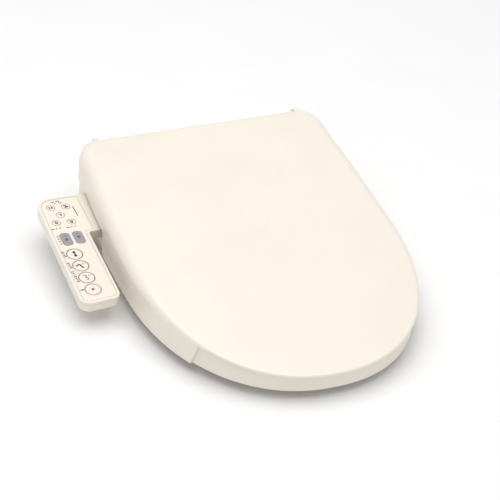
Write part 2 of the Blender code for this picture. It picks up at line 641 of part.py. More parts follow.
def make_panel():
    """Lower case with the arm, top cover, face sheet, circuit board, lamp bar and buttons."""
    frame = bpy.data.objects.new("panel_frame", None)
    parts.objects.link(frame)
    frame.location = Vector((0, PANEL_FRONT_Y, PANEL_FRONT_Z)) * MM
    frame.rotation_euler = (PANEL_TILT, 0, 0)
    outline = panel_outline()

    lower = slab("panel_lower_case", outline, -PANEL_DEPTH, -COVER_DEPTH - GAP, IVORY, frame)
    cut(lower, slab("lower_room", inset(outline, WALL), WALL - PANEL_DEPTH, 0, parent=frame))
    cover = slab("panel_top_cover", outline, -COVER_DEPTH, 0, IVORY, frame)
    cut(cover, slab("cover_hollow", inset(outline, WALL), -COVER_DEPTH - 5, -2.2, parent=frame),
        slab("sheet_recess", sheet_outline(0), -SHEET - GAP, 5, parent=frame))
    sheet = slab("panel_face_sheet", sheet_outline(GAP), -SHEET, 0, SHEET_FINISH, frame)
    block("panel_board", (-259, 8, -10), (-226, 190, -8.5), BOARD, frame)

    def key_hole(name, tool):
        tool.name = name + "_hole"
        cut(cover, tool)
        cut(sheet, tool)

    top, below, above = BUTTON_PROUD, -30, 30
    rounds = {name: (BUTTON_ROW_X, y, BUTTON_RADIUS, 28) for name, y in ROUND_BUTTONS.items()}
    rounds |= {name: (x, y, SMALL_RADIUS, 20) for name, (x, y) in SMALL_BUTTONS.items()}
    for name, (x, y, radius, sides) in rounds.items():
        rod(name, (x, y, BUTTON_BASE), (x, y, top), radius, KEY, frame, sides)
        key_hole(name, rod(name, (x, y, below), (x, y, above), radius + BUTTON_CLEARANCE,
                           parent=frame, sides=sides))
    for name, x in PRESSURE_BUTTONS.items():
        slab(name, key_outline(x, PRESSURE_Y, PRESSURE_SIZE), BUTTON_BASE, top, SOFT_KEY, frame)
        key_hole(name, slab(name, key_outline(x, PRESSURE_Y, PRESSURE_SIZE, BUTTON_CLEARANCE),
                            below, above, parent=frame))
    x, y, width, length = LAMP_BAR
    block("indicator_lamps", (x - width / 2, y - length / 2, -4), (x + width / 2, y + length / 2, 0),
          WHITE, frame)
    key_hole("lamps", block("lamps", (x - width / 2 - GAP, y - length / 2 - GAP, below),
                            (x + width / 2 + GAP, y + length / 2 + GAP, above), parent=frame))


make_lid()
make_seat()
make_base_plate()
make_lower_case()
make_upper_cover()
make_nozzle()
make_water_parts()
make_electrics()
make_panel()
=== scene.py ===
# %% [markdown]
# # Electric bidet seat
# A heated ring and a domed lid hinge on a low washing unit, and an arm on the left carries the
# control panel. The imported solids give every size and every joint. This file adds the looks: fine
# moulded surfaces in place of the coarse ones, printed marks on the keys, and the finishes.

# %% Load the frame
import json
import math

import bmesh
import bpy
import numpy as np
from mathutils import Matrix, Vector


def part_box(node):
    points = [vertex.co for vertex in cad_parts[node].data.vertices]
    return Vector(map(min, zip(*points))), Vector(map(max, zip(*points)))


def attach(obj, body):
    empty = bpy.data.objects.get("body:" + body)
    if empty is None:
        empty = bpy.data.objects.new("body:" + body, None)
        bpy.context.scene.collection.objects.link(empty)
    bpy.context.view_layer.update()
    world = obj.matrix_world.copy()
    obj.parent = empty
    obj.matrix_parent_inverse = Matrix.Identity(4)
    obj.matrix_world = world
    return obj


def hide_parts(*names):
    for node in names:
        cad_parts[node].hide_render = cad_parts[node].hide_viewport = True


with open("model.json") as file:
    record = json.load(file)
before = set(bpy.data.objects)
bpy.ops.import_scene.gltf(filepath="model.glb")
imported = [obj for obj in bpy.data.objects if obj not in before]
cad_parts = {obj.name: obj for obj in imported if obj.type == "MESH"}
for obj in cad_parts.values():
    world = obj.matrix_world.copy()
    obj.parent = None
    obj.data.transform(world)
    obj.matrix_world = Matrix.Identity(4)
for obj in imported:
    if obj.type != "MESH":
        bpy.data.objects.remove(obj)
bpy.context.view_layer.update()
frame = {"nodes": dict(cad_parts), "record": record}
nodes = frame["nodes"]
MM = 0.001

# %% [markdown]
# ## Camera, light and floor
# Such a product is shown in a bright white studio. The camera looks down from the front left
# through a long lens, so the outline hardly converges. One large soft light nearly straight above
# brightens the lid, and a weaker sky fills the walls. The floor is almost white.

# %% Camera
SENSOR_WIDTH = 36.0


def aim_camera(target, azimuth, elevation, roll, distance, focal, shift):
    """Azimuth 0 looks along +Y. The camera's own axes are built from the two angles, and then
    turned about the line of sight by the roll. The focal length counts in image sizes."""
    a, e, r = (math.radians(v) for v in (azimuth, elevation, roll))
    back = Vector((math.sin(a) * math.cos(e), -math.cos(a) * math.cos(e), math.sin(e)))
    level = Vector((math.cos(a), math.sin(a), 0.0))
    rise = back.cross(level)
    right = level * math.cos(r) + rise * math.sin(r)
    up = rise * math.cos(r) - level * math.sin(r)
    camera = bpy.data.objects.new("camera", bpy.data.cameras.new("camera"))
    bpy.context.scene.collection.objects.link(camera)
    camera.matrix_world = Matrix.Translation(Vector(target) + back * distance) @ Matrix(
        (right, up, back)).transposed().to_4x4()
    camera.data.sensor_width = SENSOR_WIDTH
    camera.data.lens = SENSOR_WIDTH * focal
    camera.data.shift_x, camera.data.shift_y = shift
    camera.data.clip_end = 50.0
    return camera


camera = aim_camera(target=(0.0, -0.1855, 0.046), azimuth=-27.65, elevation=35.29, roll=6.79,
                    distance=2.842, focal=4.1333, shift=(-0.0181, 0.0086))
bpy.context.scene.camera = camera
bpy.context.scene.view_settings.view_transform = "Standard"
print("camera at", [round(v, 3) for v in camera.location])


# %% Lights and floor
def soft_light(name, power, size, place, target=(0.0, -0.2, 0.05), colour=(1.0, 1.0, 1.0)):
    """A square area light that faces the target."""
    data = bpy.data.lights.new(name, "AREA")
    data.energy, data.size, data.color = power, size, colour
    light = bpy.data.objects.new(name, data)
    light.location = place
    light.rotation_euler = (Vector(place) - Vector(target)).to_track_quat("Z", "Y").to_euler()
    bpy.context.scene.collection.objects.link(light)
    return light


soft_light("overhead", 45.0, 2.8, (-0.25, -0.25, 2.4))
world = bpy.data.worlds.new("studio")
world.use_nodes = True
world.node_tree.nodes["Background"].inputs["Color"].default_value = (1.0, 1.0, 1.0, 1.0)
world.node_tree.nodes["Background"].inputs["Strength"].default_value = 0.64
bpy.context.scene.world = world

# %% [markdown]
# ## Shader maths
# A finish is made of sums and products of a few noise fields. Written with nodes alone they are
# hard to read, so a socket is wrapped in a small class whose operators add Math nodes. An
# expression such as `roughness + spread * (cloud - 0.5)` then builds the nodes by itself.

# %% A socket with operators


class Field:
    """A number that varies over a surface: one output socket of a node tree."""

    def __init__(self, tree, socket):
        self.tree, self.socket = tree, socket

    def node(self, kind, settings=None, output=0, **inputs):
        """Any other node: its settings are made first, then its sockets are set or linked."""
        made = self.tree.nodes.new(kind)
        for key, value in (settings or {}).items():
            setattr(made, key, value)
        for key, value in inputs.items():
            spot = made.inputs[int(key[1:]) if key[1:].isdigit() else key.replace("_", " ")]
            if isinstance(value, Field):
                self.tree.links.new(value.socket, spot)
            else:
                spot.default_value = value
        return Field(self.tree, made.outputs[output])

    def math(self, operation, first, second):
        return self.node("ShaderNodeMath", {"operation": operation}, i0=first, i1=second)

    def __add__(self, other):
        return self.math("ADD", self, other)

    def __sub__(self, other):
        return self.math("SUBTRACT", self, other)

    def __mul__(self, other):
        return self.math("MULTIPLY", self, other)

    def ramp(self, low, high):
        """0 below low, 1 above high, smooth between."""
        return self.node("ShaderNodeMapRange", {"interpolation_type": "SMOOTHSTEP"},
                         Value=self, From_Min=low, From_Max=high)

    __radd__ = __add__
    __rmul__ = __mul__


print("field operators ready")

# %% [markdown]
# ## Finishes
# Moulded plastic is never one flat colour: it drifts a little in tone, its gloss is uneven by a few
# per cent, and a fine orange peel bends the reflections. Each finish therefore has a slow noise
# for tone, a finer one for roughness and a very fine one for the bump, all in Object coordinates,
# which are metres here.

# %% A moulded plastic


def linear(*srgb):
    """Display values from 0 to 255 as linear colour."""
    value = np.array(srgb, float) / 255
    return tuple(np.where(value <= 0.04045, value / 12.92, ((value + 0.055) / 1.055) ** 2.4))


GRAINS_PER_CLOUD = 12
COAT_ROUGHNESS = 0.12


def finish(name, dark, light, roughness, drift=9.0, grain=900.0, bump=0.02, spread=0.05,
           metallic=0.0, coat=0.0, stretch=(1.0, 1.0, 1.0), depth=0.00002):
    """A material between two close tones. stretch pulls the grain out into brush marks."""
    material = bpy.data.materials.new(name)
    material.use_nodes = True
    tree = material.node_tree
    shader = tree.nodes["Principled BSDF"]
    coordinates = Field(tree, tree.nodes.new("ShaderNodeTexCoord").outputs["Object"])
    pulled = coordinates.node("ShaderNodeMapping", Vector=coordinates, Scale=stretch)
    slow = coordinates.node("ShaderNodeTexNoise", Vector=coordinates, Scale=drift, Detail=2.0)
    fine = coordinates.node("ShaderNodeTexNoise", Vector=pulled, Scale=grain, Detail=3.0)
    cloud = coordinates.node("ShaderNodeTexNoise", Vector=pulled, Scale=grain / GRAINS_PER_CLOUD,
                             Detail=2.0)
    colour = coordinates.node("ShaderNodeMix", {"data_type": "RGBA"}, output=2,
                              Factor=slow.ramp(0.3, 0.7), i6=(*dark, 1.0), i7=(*light, 1.0))
    gloss = roughness + spread * (cloud - 0.5)
    normal = coordinates.node("ShaderNodeBump", Strength=bump, Distance=depth, Height=fine)
    tree.links.new(colour.socket, shader.inputs["Base Color"])
    tree.links.new(gloss.socket, shader.inputs["Roughness"])
    tree.links.new(normal.socket, shader.inputs["Normal"])
    shader.inputs["Metallic"].default_value = metallic
    shader.inputs["Coat Weight"].default_value = coat
    shader.inputs["Coat Roughness"].default_value = COAT_ROUGHNESS
    return material


IVORY = linear(236, 228, 216)
IVORY_DEEP = linear(233, 225, 212)
FINISHES = {
    "ivory_plastic": finish("ivory_plastic", IVORY_DEEP, IVORY, 0.30, bump=0.12, coat=0.25),
    "key_plastic": finish("key_plastic", linear(234, 226, 212), linear(237, 229, 216), 0.38,
                          bump=0.15),
    "soft_key": finish("soft_key", linear(147, 147, 149), linear(154, 154, 156), 0.55, bump=0.4),
    "face_sheet": finish("face_sheet", linear(234, 225, 212), linear(237, 228, 215), 0.42,
                         grain=2200.0, bump=0.5),
    "grey_plastic": finish("grey_plastic", linear(128, 128, 126), linear(140, 140, 137), 0.5,
                           bump=0.5),
    "white_plastic": finish("white_plastic", linear(222, 221, 215), linear(230, 229, 224), 0.42,
                            bump=0.3),
    "rubber": finish("rubber", linear(176, 172, 162), linear(190, 186, 176), 0.8, bump=1.0,
                     spread=0.12),
    "steel": finish("steel", (0.52, 0.52, 0.53), (0.62, 0.62, 0.63), 0.28, metallic=1.0,
                    stretch=(1.0, 1.0, 14.0), bump=0.6, spread=0.16),
    "brass": finish("brass", (0.62, 0.44, 0.18), (0.72, 0.54, 0.25), 0.3, metallic=1.0,
                    bump=0.3, spread=0.12),
    "circuit_board": finish("circuit_board", (0.02, 0.13, 0.05), (0.03, 0.19, 0.08), 0.45,
                            bump=0.5, coat=0.4),
    "heater_foil": finish("heater_foil", (0.66, 0.60, 0.50), (0.76, 0.70, 0.60), 0.35,
                          metallic=0.9, bump=1.0, drift=60.0)}
INK = finish("ink", linear(38, 32, 28), linear(46, 40, 34), 0.6, bump=0.1)
PALE_INK = finish("pale_ink", linear(108, 100, 92), linear(116, 108, 100), 0.6, bump=0.1)
RED_INK = finish("red_ink", linear(176, 58, 20), linear(186, 66, 26), 0.55, bump=0.1)
BLUE_INK = finish("blue_ink", linear(58, 68, 108), linear(66, 76, 116), 0.55, bump=0.1)
print(len(FINISHES), "finishes and four inks")

# %% Every carried-over solid takes the finish of its slot
SLOT_OF = {entry["node"]: entry["material_slot"] for entry in frame["record"]["subparts"]}
for node_name, solid in nodes.items():
    solid.data.materials.clear()
    solid.data.materials.append(FINISHES[SLOT_OF[node_name]])
print("slots:", sorted(set(SLOT_OF.values())))

# %% [markdown]
# ## From numbers to pieces
# Nearly every moulded piece here is a grid: rows of points carried round an outline. A grid can be
# closed both ways, or closed by a pole or a flat cap at each end. Places are written in
# millimetres, and the mesh is made in metres.

# %% Grids and pieces
BODY_OF = {name: body for body, names in frame["record"]["behaviour"]["bodies"].items()
           for name in names}
SHARP_ANGLE = 40.0


def grid(points, wrap_rows=False, caps=()):
    """Quads between neighbours of an array (rows, columns, 3) whose columns close on themselves.
    wrap_rows joins the last row to the first. caps has one entry for each end, a pole's place or
    None for a flat face."""
    points = np.asarray(points, float)
    rows, columns = points.shape[:2]
    row, column = np.meshgrid(np.arange(rows if wrap_rows else rows - 1), np.arange(columns),
                              indexing="ij")
    ahead, beside = (row + 1) % rows, (column + 1) % columns
    quads = np.stack([row * columns + column, row * columns + beside,
                      ahead * columns + beside, ahead * columns + column], axis=-1)
    faces, spots = quads.reshape(-1, 4).tolist(), points.reshape(-1, 3)
    for cap, first in zip(caps, (0, (rows - 1) * columns)):
        edge = first + np.arange(columns)
        if cap is None:
            faces.append((edge if first else edge[::-1]).tolist())
        else:
            fan = np.stack([edge, np.roll(edge, -1), np.full(columns, len(spots))], axis=1)
            faces += (fan if first else fan[:, ::-1]).tolist()
            spots = np.vstack([spots, cap])
    return spots, faces


def joined(*grids):
    """Several grids as one list of points and one list of faces."""
    offsets = np.cumsum([0] + [len(spots) for spots, _ in grids])
    faces = [[corner + start for corner in face]
             for start, (_, part) in zip(offsets, grids) for face in part]
    return np.vstack([spots for spots, _ in grids]), faces


def solid_from(name, shape):
    """An object from points in millimetres, with its faces turned outwards."""
    spots, faces = shape
    mesh = bpy.data.meshes.new(name)
    mesh.from_pydata((np.asarray(spots) * MM).tolist(), [], faces)
    bm = bmesh.new()
    bm.from_mesh(mesh)
    bmesh.ops.recalc_face_normals(bm, faces=bm.faces)
    bm.to_mesh(mesh)
    bm.free()
    obj = bpy.data.objects.new(name, mesh)
    bpy.context.scene.collection.objects.link(obj)
    return obj


def shade(mesh, sharp=SHARP_ANGLE):
    """Smooth shading, with edges sharper than an angle in degrees kept crisp."""
    mesh.shade_smooth()
    mesh.set_sharp_from_angle(angle=math.radians(sharp))


def piece(name, shape, body, material, slot=None, replaces=(), sharp=SHARP_ANGLE):
    """A shaded object, riding on a body of the frame."""
    obj = solid_from(name, shape)
    shade(obj.data, sharp)
    return dress(obj, body, material, slot, replaces)


def dress(obj, body, material, slot=None, replaces=()):
    """Give a piece its finish, its body and the solids that it stands for."""
    obj.data.materials.clear()
    obj.data.materials.append(FINISHES.get(material) if isinstance(material, str) else material)
    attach(obj, body)
    if slot or isinstance(material, str):
        slot or material
    if replaces:
        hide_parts(*replaces)
    return obj


def smooth(x, low=0.0, high=1.0):
    """0 below low, 1 above high, and a smooth S between: 3t^2 - 2t^3."""
    t = np.clip((np.asarray(x, float) - low) / (high - low), 0.0, 1.0)
    return t * t * (3 - 2 * t)


def carve(obj, *cutters):
    """Take cutters away from a piece for good, and drop them."""
    for cutter in cutters:
        step = obj.modifiers.new("carve", "BOOLEAN")
        step.operation, step.solver, step.object = "DIFFERENCE", "EXACT", cutter
    depsgraph = bpy.context.evaluated_depsgraph_get()
    carved = bpy.data.meshes.new_from_object(obj.evaluated_get(depsgraph))
    obj.modifiers.clear()
    obj.data = carved
    for cutter in cutters:
        bpy.data.objects.remove(cutter)
    shade(carved)
    return obj


def tool(shape):
    """A cutter for carve."""
    return solid_from("tool", shape)


# %% Outlines and the solids made from them


def prism(outline, low, high):
    """A flat outline (n, 2) between two heights."""
    outline = np.asarray(outline, float)
    rows = [np.column_stack([outline, np.full(len(outline), z)]) for z in (low, high)]
    return grid(rows, caps=(None, None))


def corners(*marks, steps=10):
    """A closed outline from (x, y, radius) corners: each corner is the arc that touches both of
    its sides."""
    marks, points = np.array(marks, float), []
    for here, before, after in zip(marks, np.roll(marks, 1, 0), np.roll(marks, -1, 0)):
        back, ahead = before[:2] - here[:2], after[:2] - here[:2]
        back, ahead = back / np.hypot(*back), ahead / np.hypot(*ahead)
        if here[2] == 0:
            points.append(here[None, :2])
            continue
        half = math.acos(np.clip(back @ ahead, -1, 1)) / 2
        middle = here[:2] + (back + ahead) / np.hypot(*(back + ahead)) * here[2] / math.sin(half)
        start = here[:2] + back * here[2] / math.tan(half) - middle
        end = here[:2] + ahead * here[2] / math.tan(half) - middle
        turn = math.atan2(start[0] * end[1] - start[1] * end[0], start @ end)
        angle = np.linspace(0, turn, steps + 1)[:, None]
        across = np.array([-start[1], start[0]])
        points.append(middle + start * np.cos(angle) + across * np.sin(angle))
    return np.vstack(points)


def inwards(outline):
    """At each point of an anticlockwise outline, the step that moves both of its sides in by 1."""
    ahead = np.roll(outline, -1, axis=0) - outline
    normal = np.stack([-ahead[:, 1], ahead[:, 0]], axis=1)
    normal /= np.maximum(np.linalg.norm(normal, axis=1)[:, None], 1e-9)
    before = np.roll(normal, 1, axis=0)
    return (normal + before) / (1 + np.sum(normal * before, axis=1))[:, None]


def plate(outline, low, high, top=0.0, base=0.0, steps=5):
    """A solid with a flat outline whose upper and lower edges are rounded: each row of the edge is
    the outline moved in by r - r cos(t), at a height r sin(t) from the start of the arc."""
    outline = np.asarray(outline, float)
    step, rows = inwards(outline), []
    turns = np.linspace(0, math.pi / 2, steps + 1)
    edges = [(base * (1 - math.cos(t)), low + base * (1 - math.sin(t))) for t in turns[::-1]]
    edges += [(top * (1 - math.cos(t)), high - top * (1 - math.sin(t))) for t in turns]
    for inset, height in edges:
        rows.append(np.column_stack([outline + step * inset, np.full(len(outline), height)]))
    return grid(rows, caps=(None, None))


def turned(profile, columns=64, at=(0.0, 0.0)):
    """A profile of (radius, height) pairs spun about an upright line; flat at both ends."""
    profile = np.asarray(profile, float)
    angle = np.linspace(0, 2 * math.pi, columns, endpoint=False)
    ring = np.stack([np.cos(angle), np.sin(angle)], axis=1)
    rows = profile[:, None, :1] * ring + np.asarray(at, float)
    height = np.broadcast_to(profile[:, None, 1:], (len(profile), columns, 1))
    return grid(np.concatenate([rows, height], axis=2), caps=(None, None))


print("outline helpers ready")

# %% [markdown]
# ## Lid
# The lid is one moulding: a flat-crowned top, a shoulder that is broad at the rear and tightens
# towards the front, and a skirt. Near the front the skirt steps in by a few millimetres under a
# crisp lip, so that fingers can lift it. Two short ears stand out at the rear corners.
# It could be sculpted from a box, but its shape follows rules, so it is computed: rows of a
# cross-section are carried round the outline, once inside and once outside, and closed.

# %% Outline of the lid
lid_low, lid_high = (np.array(corner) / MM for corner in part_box("lid_shell"))
HALF, FRONT, REAR = lid_high[0], lid_low[1], lid_high[1]
REAR_HALF, CORNER, WIDEST = 190.0, 42.0, -194.0
FRONT_POWER, FRONT_TOP, REAR_TOP, CROWN = 2.2, 41.0, lid_high[2], 3.0
SKIN, RECESS, EAR_X, EAR_DEPTH = 3.0, 4.0, 149.0, 3.5
STEP_BOTTOM_Y, STEP_TOP_Y, ARM_CUT_Y = -347.0, -356.0, -95.0
PAST_BEND, MID_SIDE = 400, 600


def lid_top(y):
    """The top slopes evenly from the rear edge down to the front tip."""
    return FRONT_TOP + (REAR_TOP - FRONT_TOP) * (y - FRONT) / (REAR - FRONT)


def right_side():
    """The right half of the outline, closely spaced: a straight rear edge, a quarter circle, a side
    that widens as a sine, and a quarter superellipse |x/a|^p + |y/b|^p = 1."""
    flat = REAR_HALF - CORNER
    rear = np.column_stack([np.linspace(0, flat, 200), np.full(200, REAR)])
    angle = np.linspace(math.pi / 2, 0, 200)
    bend = np.column_stack([flat + CORNER * np.cos(angle), REAR - CORNER + CORNER * np.sin(angle)])
    share = np.linspace(0, 1, 400)
    widening = np.sin(share * math.pi / 2) * smooth(share, 0, 0.3)
    side = np.column_stack([REAR_HALF + (HALF - REAR_HALF) * widening,
                            REAR - CORNER + (WIDEST - REAR + CORNER) * share])
    turn = np.linspace(0, math.pi / 2, 1200)
    power = 2 / FRONT_POWER
    nose = np.column_stack([HALF * np.cos(turn) ** power,
                            WIDEST - (WIDEST - FRONT) * np.sin(turn) ** power])
    points = np.vstack([rear, bend[1:], side[1:], nose[1:]])
    points[-1, 0] = 0.0
    points[:, 1] -= EAR_DEPTH * smooth(EAR_X - points[:, 0], -0.6, 0.6) * (points[:, 1] > 0)
    return points


SIDE = right_side()
SIDE_LENGTH = np.concatenate([[0], np.cumsum(np.hypot(*np.diff(SIDE, axis=0).T))])


def on_outline(along, inset=0.0):
    """A point at a signed distance along the outline from the middle of the rear edge, positive to
    the right, moved in by inset at right angles."""
    distance = np.abs(along)
    x, y = (np.interp(distance, SIDE_LENGTH, SIDE[:, k]) for k in (0, 1))
    soft = 1.2
    ahead, behind = (np.clip(distance + s, 0, SIDE_LENGTH[-1]) for s in (soft, -soft))
    dx, dy = (np.interp(ahead, SIDE_LENGTH, SIDE[:, k]) - np.interp(behind, SIDE_LENGTH, SIDE[:, k])
              for k in (0, 1))
    length = np.hypot(dx, dy)
    x, y = x + inset * dy / length, y - inset * dx / length
    return np.where(along < 0, -x, x), y


TIP = SIDE_LENGTH[-1]
step_low, step_high = (np.interp(-y, -SIDE[MID_SIDE:, 1], SIDE_LENGTH[MID_SIDE:])
                       for y in (STEP_BOTTOM_Y, STEP_TOP_Y))
STEP, LEAN = (step_low + step_high) / 2, (step_high - step_low) / 2
ear = np.interp(EAR_X, SIDE[:PAST_BEND, 0], SIDE_LENGTH[:PAST_BEND])
arm_cut = np.interp(-ARM_CUT_Y, -SIDE[PAST_BEND:, 1], SIDE_LENGTH[PAST_BEND:])
close = np.array([-2.0, -1.2, -0.6, -0.2, 0.2, 0.6, 1.2, 2.0])
HALF_COLUMNS = np.unique(np.round(np.concatenate([
    np.linspace(0, TIP, 190), STEP + close, ear + close, arm_cut + close * 2]), 2))
AROUND = np.concatenate([HALF_COLUMNS, -HALF_COLUMNS[1:-1][::-1]])
print("outline", round(2 * TIP), "mm long,", len(AROUND), "columns")

# %% Lid surface


def lid_rows():
    """Rows from the inner ceiling down the inner wall, round the edge, up the outer wall, over the
    lip and the shoulder to the crown. Each row is an inset and a height for every column."""
    distance = np.abs(AROUND)
    y0 = on_outline(AROUND)[1]
    radius = np.interp(y0, [-372, -352, -250, -150, 20, 58], [2.5, 5.0, 11.5, 18, 18, 12])
    inner_radius = np.maximum(radius - SKIN, 1.5)
    recess = RECESS * smooth(distance - STEP, -0.6, 0.6)
    bottom = np.interp(y0, [FRONT, -98], [13.5, 22.0])
    bottom += smooth(y0, -98, -92) * (np.interp(y0, [-95, 30], [57.5, 68.5]) - bottom)
    bottom += smooth(y0, 30, 50) * (103.0 - bottom)
    lean_weight = np.exp(-((distance - STEP) / 26.0) ** 2) * np.sign(AROUND)

    def row(inset, drop=None, height=None, share=1.0):
        """drop is a depth below the sloping top, height an absolute height."""
        along = AROUND + LEAN * (2 * share - 1) * lean_weight
        x, y = on_outline(along, inset)
        z = lid_top(y) - drop if height is None else np.broadcast_to(height, y.shape)
        return np.column_stack([x, y, z])

    def dome(drop, edge, steps):
        """From an edge row to the middle; the crown rises as 1 - rho^2."""
        centre = np.array([0.0, WIDEST])
        for rho in steps:
            plan = centre + (edge[:, :2] - centre) * rho
            z = lid_top(plan[:, 1]) + CROWN * (1 - rho ** 2) - drop
            yield np.column_stack([plan, z])

    def arc(wall, r, drop, turns):
        for t in turns:
            yield row(wall + r * (1 - math.cos(t)), drop + r * (1 - math.sin(t)))

    def wall(inset, top_height, shares):
        for share in shares:
            yield row(inset, height=bottom + 1.0 + (top_height - bottom - 1.0) * share, share=share)

    quarter = np.linspace(0, math.pi / 2, 9)
    inner_edge = row(recess + SKIN + inner_radius, SKIN)
    outer_edge = row(radius, 0.0)
    neck = np.maximum(lid_top(y0) - radius - 1.0, bottom + 1.5)
    rows = list(dome(SKIN, inner_edge, np.linspace(0.06, 0.97, 12)))
    rows += arc(recess + SKIN, inner_radius, SKIN, quarter[::-2])
    inner_top = lid_top(y0) - SKIN - inner_radius - 0.2
    inner_top = np.maximum(inner_top, bottom + 1.2)
    rows += wall(recess + SKIN, inner_top, [0.9, 0.6, 0.3, 0.0])
    for t in np.linspace(0, math.pi, 7)[1:-1]:
        rows.append(row(recess + SKIN / 2 + SKIN / 2 * math.cos(t), share=0.0,
                        height=bottom + 1.0 - math.sin(t)))
    rows += wall(recess, neck - 0.4, [0.0, 0.12, 0.3, 0.5, 0.7, 0.88, 1.0])
    for share, rise in ((0.95, -0.15), (0.8, -0.08), (0.3, 0.0), (0.1, 0.08), (0.0, 0.35)):
        rows.append(row(recess * share, height=neck + rise))
    rows += arc(0.0, radius, 0.0, quarter)
    rows += dome(0.0, outer_edge, [0.985, 0.96, 0.92, 0.86, *np.linspace(0.78, 0.06, 13)])
    return np.array(rows)


rows = lid_rows()
middle = (0.0, WIDEST, lid_top(WIDEST) + CROWN)
inner_middle = (0.0, WIDEST, lid_top(WIDEST) + CROWN - SKIN)
piece("lid", grid(rows, caps=(inner_middle, middle)), "lid", "ivory_plastic",
      replaces=["lid_shell"], sharp=50.0)
print("lid", rows.shape[:2], "rows and columns")

# %% [markdown]
# ## Heated ring
# The ring is two mouldings, a hollow top and a bottom plate, with a thin line between them. It is
# seen when the lid is up. Its cross-section is a round shoulder outside, a gentle dish where one
# sits and a wide roll down into the hole, and that section is carried round the centre of the hole.

# %% Plan of the ring
seat_high = np.array(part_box("seat_top")[1]) / MM
under_low, under_high = (np.array(corner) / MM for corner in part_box("seat_bottom"))
RING_CENTRE_Y, RING_REAR_Y = -245.0, seat_high[1]
RING_FRONT_TOP, RING_REAR_TOP = 34.0, seat_high[2]
HOLE_HALF_WIDTH, HOLE_HALF_LENGTH, RING_SKIN = 100.0, 134.0, 3.0
RING_ANGLES = np.linspace(0, 2 * math.pi, 288, endpoint=False)


def ring_plan():
    """Outer and inner radius for every angle from +Y. Outside, the lid's outline moved in and cut
    by the rear line, joined softly as (a^-n + b^-n)^(-1/n). Inside, a superellipse."""
    along = np.linspace(-TIP, TIP, 1600, endpoint=False)
    x, y = on_outline(along)
    room = np.interp(y, [-355.0, -315.0], [10.0, 8.5])
    x, y = on_outline(along, room)
    angle = np.arctan2(x, y - RING_CENTRE_Y)
    order = np.argsort(angle)
    outer = np.interp(RING_ANGLES, angle[order], np.hypot(x, y - RING_CENTRE_Y)[order],
                      period=2 * math.pi)
    rear = (RING_REAR_Y - RING_CENTRE_Y) / np.maximum(np.cos(RING_ANGLES), 1e-3)
    outer = (outer ** -16.0 + rear ** -16.0) ** (-1 / 16)
    hole = ((np.abs(np.sin(RING_ANGLES)) / HOLE_HALF_WIDTH) ** 2.3
            + (np.abs(np.cos(RING_ANGLES)) / HOLE_HALF_LENGTH) ** 2.3) ** (-1 / 2.3)
    return outer, hole


def ring_top(y):
    """The seat's top slopes gently down to the front."""
    return RING_FRONT_TOP + (RING_REAR_TOP - RING_FRONT_TOP) * (y - FRONT) / (RING_REAR_Y - FRONT)


def ring_row(radius, drop=None, height=None):
    """One turn round the ring; drop is a depth below the sloping top."""
    x, y = radius * np.sin(RING_ANGLES), RING_CENTRE_Y + radius * np.cos(RING_ANGLES)
    z = ring_top(y) - drop if height is None else np.full_like(x, height)
    return np.column_stack([x, y, z])


OUTER, HOLE = ring_plan()
print("ring", round(2 * OUTER.max()), "mm across at most")

# %% Top and bottom of the ring


def ring_skin(inset):
    """The top's surface moved in by inset: outside up, over the dish, and down into the hole. The
    dish is shallower where the ring is narrow."""
    seam = 16.3 + 0.01 * inset
    depth = 3.4 * smooth(OUTER - HOLE, 20.0, 60.0)
    shoulder, roll = 8.0 - inset, 13.0 - inset
    rows = [ring_row(OUTER - inset, height=seam)]
    for t in np.linspace(0, math.pi / 2, 8):
        rows.append(ring_row(OUTER - inset - shoulder * (1 - math.cos(t)),
                             inset + shoulder * (1 - math.sin(t))))
    start, end = OUTER - inset - shoulder, HOLE + inset + roll
    for share in np.linspace(0, 1, 12)[1:-1]:
        rows.append(ring_row(start + (end - start) * share, inset + depth * smooth(share)))
    for t in np.linspace(math.pi / 2, 0, 8):
        rows.append(ring_row(HOLE + inset + roll * (1 - math.cos(t)),
                             depth + inset + roll * (1 - math.sin(t))))
    rows.append(ring_row(HOLE + inset, height=seam))
    return rows


def ring_base():
    """A flat plate with round lower edges, thick at the rims where it meets the top."""
    low, high = under_low[2], under_high[2]
    rows = [ring_row(OUTER, height=high)]
    for t in np.linspace(0, math.pi / 2, 5):
        rows.append(ring_row(OUTER - 2.0 * (1 - math.cos(t)), height=low + 2.0 * (1 - math.sin(t))))
    for t in np.linspace(math.pi / 2, 0, 5):
        rows.append(ring_row(HOLE + 2.0 * (1 - math.cos(t)), height=low + 2.0 * (1 - math.sin(t))))
    rows.append(ring_row(HOLE, height=high))
    return rows


def nozzle_way():
    """The gap in the ring's rear that the nozzle passes through, with round corners above."""
    outline = corners((-26, 0, 0), (26, 0, 0), (26, 27, 5), (-26, 27, 5))
    rows = [np.column_stack([outline[:, 0], np.full(len(outline), y), outline[:, 1]])
            for y in (RING_REAR_Y - 32, RING_REAR_Y + 6)]
    return tool(grid(rows, caps=(None, None)))


ring_shape = grid(np.array(ring_skin(0.0) + ring_skin(RING_SKIN)[::-1]), wrap_rows=True)
seat_ring = piece("seat_ring", ring_shape, "seat", "ivory_plastic", replaces=["seat_top"])
seat_base = piece("seat_base", grid(np.array(ring_base()), wrap_rows=True), "seat",
                  "ivory_plastic", replaces=["seat_bottom"])
carve(seat_ring, nozzle_way())
carve(seat_base, nozzle_way())
print("ring", len(seat_ring.data.polygons), "and", len(seat_base.data.polygons), "faces")

# %% [markdown]
# ## Control panel
# The panel stands on an arm of the washing unit, tilted a few degrees towards the user. A tray
# below, a cover above and a thin face sheet let into the cover are separate mouldings. All three
# are drawn flat in the panel's own frame, where z is the height above the face, and then tilted
# into place. Holes for the keys are carved afterwards.

